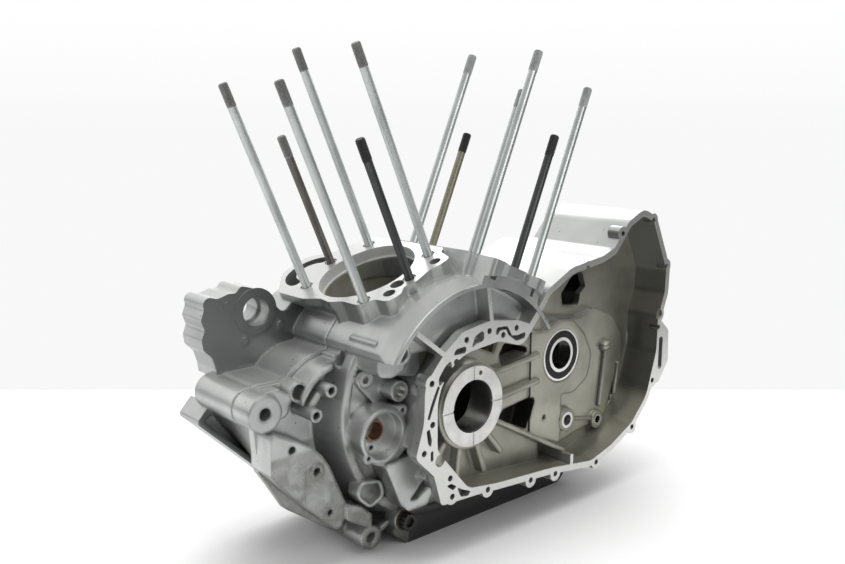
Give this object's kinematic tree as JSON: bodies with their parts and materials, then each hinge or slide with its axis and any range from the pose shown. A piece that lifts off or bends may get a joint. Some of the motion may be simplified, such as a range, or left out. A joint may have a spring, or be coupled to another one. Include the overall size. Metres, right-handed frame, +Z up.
{
  "type": "engine crankcase",
  "caption": "Bare aluminium crankcase of an air-cooled V-twin engine with gearbox housing, cylinder studs, main bearings and shaft bearings.",
  "frame": {"origin": "crank axis at the thrust face of the left main bearing", "axes": "+X rearward, +Y along the crank axis to the right-hand side of the engine, +Z up"},
  "size_m": [0.5679, 0.2287, 0.5164],
  "materials": {
    "cast_alloy": "fine sand-blasted casting with machined joint faces",
    "zinc_steel": "zinc plated, turned",
    "dark_steel": "black oxide with olive and brown stain",
    "bearing_alloy": "fine bored, oiled",
    "thrust_steel": "ground flat",
    "bearing_steel": "ground and polished",
    "cage_steel": "pressed steel",
    "seal_rubber": "moulded, satin black",
    "copper_alloy": "turned bronze, oil stained",
    "dowel_steel": "drawn tube"
  },
  "bodies": {
    "root": {"left_crankcase_half": "cast_alloy", "right_crankcase_half": "cast_alloy", "front_long_studs": "zinc_steel", "rear_long_studs": "zinc_steel", "front_short_studs": "dark_steel", "rear_short_studs": "dark_steel", "left_main_bush": "bearing_alloy", "right_main_bush": "bearing_alloy", "left_thrust_washer": "thrust_steel", "right_thrust_washer": "thrust_steel", "main_shaft_outer_race": "bearing_steel", "main_shaft_inner_race": "bearing_steel", "main_shaft_balls": "bearing_steel", "main_shaft_cage": "cage_steel", "main_shaft_seal": "seal_rubber", "right_shaft_outer_races": "bearing_steel", "right_shaft_inner_races": "bearing_steel", "right_shaft_balls": "bearing_steel", "right_shaft_cages": "cage_steel", "drive_shaft_sleeve": "bearing_steel", "shift_drum_sleeve": "bearing_steel", "pump_bush": "copper_alloy", "gallery_plug": "zinc_steel", "core_plug": "zinc_steel", "case_dowels": "dowel_steel", "case_bolts": "zinc_steel", "drain_plug": "dark_steel", "drain_washer": "copper_alloy", "strainer_cover": "cast_alloy", "strainer_screws": "dark_steel", "mount_sleeve": "dowel_steel"}
  },
  "joints": []
}
